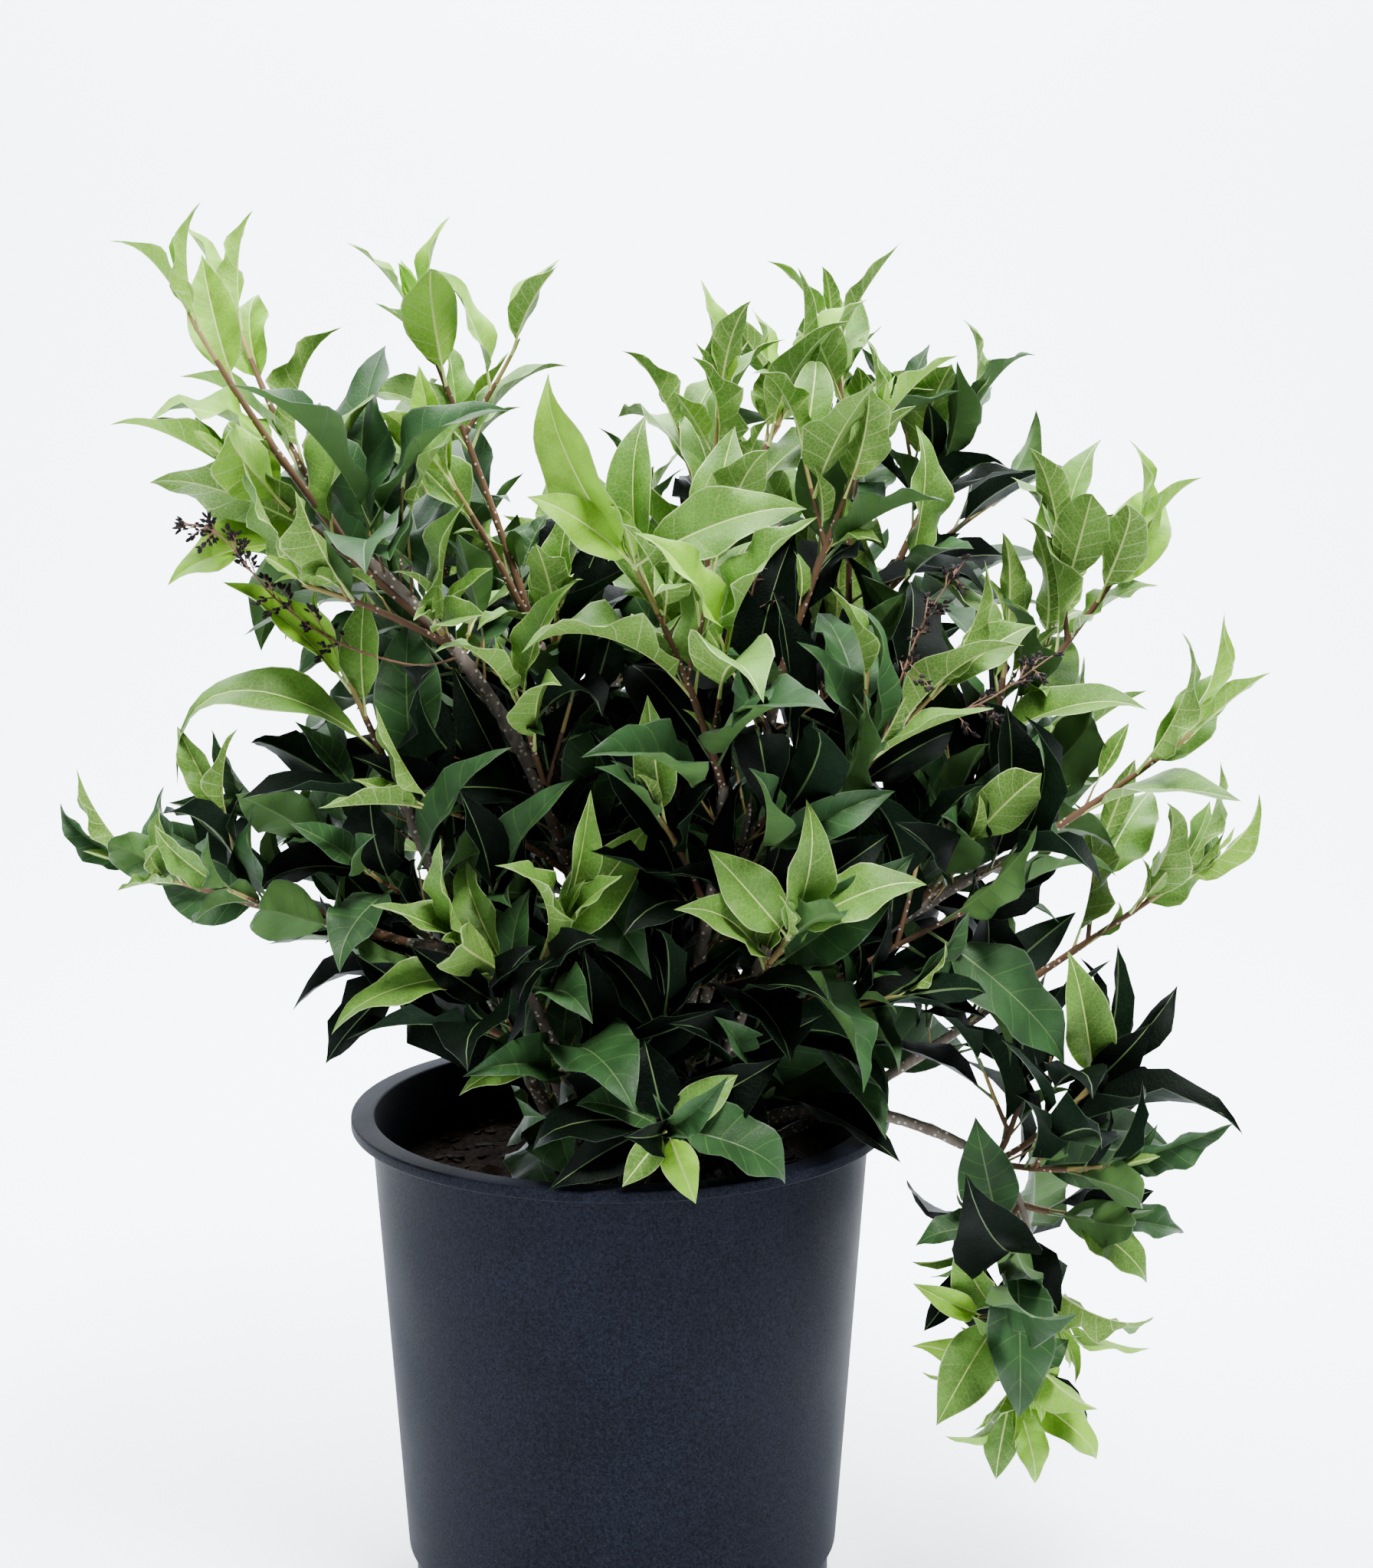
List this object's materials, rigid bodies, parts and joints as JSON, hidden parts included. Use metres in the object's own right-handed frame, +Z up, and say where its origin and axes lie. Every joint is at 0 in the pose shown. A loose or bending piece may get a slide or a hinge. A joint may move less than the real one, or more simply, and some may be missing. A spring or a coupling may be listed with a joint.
{
  "type": "potted lilac shrub",
  "caption": "Small-leaved lilac shrub in a black nursery pot: slim stems rise from the soil, lean out on all sides and end in leafy shoots, one hanging over the rim.",
  "frame": {"origin": "middle of the pot's flat underside, on the surface it stands on", "axes": "+Z up; -Y towards the side from which the shrub is best seen; +X to the right of that view, on the side of the hanging bough"},
  "size_m": [0.5995, 0.4537, 0.7208],
  "materials": {
    "pot": "matte",
    "soil": "matte",
    "bark": "matte",
    "leaves": "satin"
  },
  "bodies": {
    "root": {"pot": "pot", "soil": "soil", "stem_left": "bark", "stem_left_low": "bark", "stem_low_left": "bark", "stem_front_left": "bark", "stem_front_low": "bark", "bough_over_rim": "bark", "bough_hanging": "bark", "stem_right_low": "bark", "stem_right_mid": "bark", "stem_right_high": "bark", "stem_centre_right": "bark", "stem_centre": "bark", "stem_centre_front": "bark", "stem_centre_left": "bark", "stem_front_right": "bark", "stem_back_left": "bark", "stem_back": "bark", "stem_back_right": "bark", "leaves_left_top": "leaves", "leaves_left_inner": "leaves", "leaves_left_mid": "leaves", "leaves_left_spur": "leaves", "leaves_low_left": "leaves", "leaves_low_left_back": "leaves", "leaves_upper_left": "leaves", "leaves_centre_left": "leaves", "leaves_centre_left_low": "leaves", "leaves_front_centre": "leaves", "leaves_centre_low": "leaves", "leaves_front_left": "leaves", "leaves_front_left_low": "leaves", "leaves_front_low": "leaves", "leaves_front_right_low": "leaves", "leaves_front_right": "leaves", "leaves_front_right_side": "leaves", "leaves_top_centre": "leaves", "leaves_right_top": "leaves", "leaves_top_back": "leaves", "leaves_right_back_top": "leaves", "leaves_right_high": "leaves", "leaves_right_mid": "leaves", "leaves_right_mid_inner": "leaves", "leaves_right_low": "leaves", "leaves_hanging_tip": "leaves", "leaves_hanging_low": "leaves", "leaves_hanging_top": "leaves", "leaves_inner_left": "leaves", "leaves_inner_right": "leaves", "leaves_inner_low": "leaves", "leaves_back_left_high": "leaves", "leaves_back_left_mid": "leaves", "leaves_back_left_low": "leaves", "leaves_back_top": "leaves", "leaves_back_mid": "leaves", "leaves_back_low": "leaves", "leaves_back_right_high": "leaves", "leaves_back_right_mid": "leaves", "leaves_back_right_low": "leaves"}
  },
  "joints": []
}
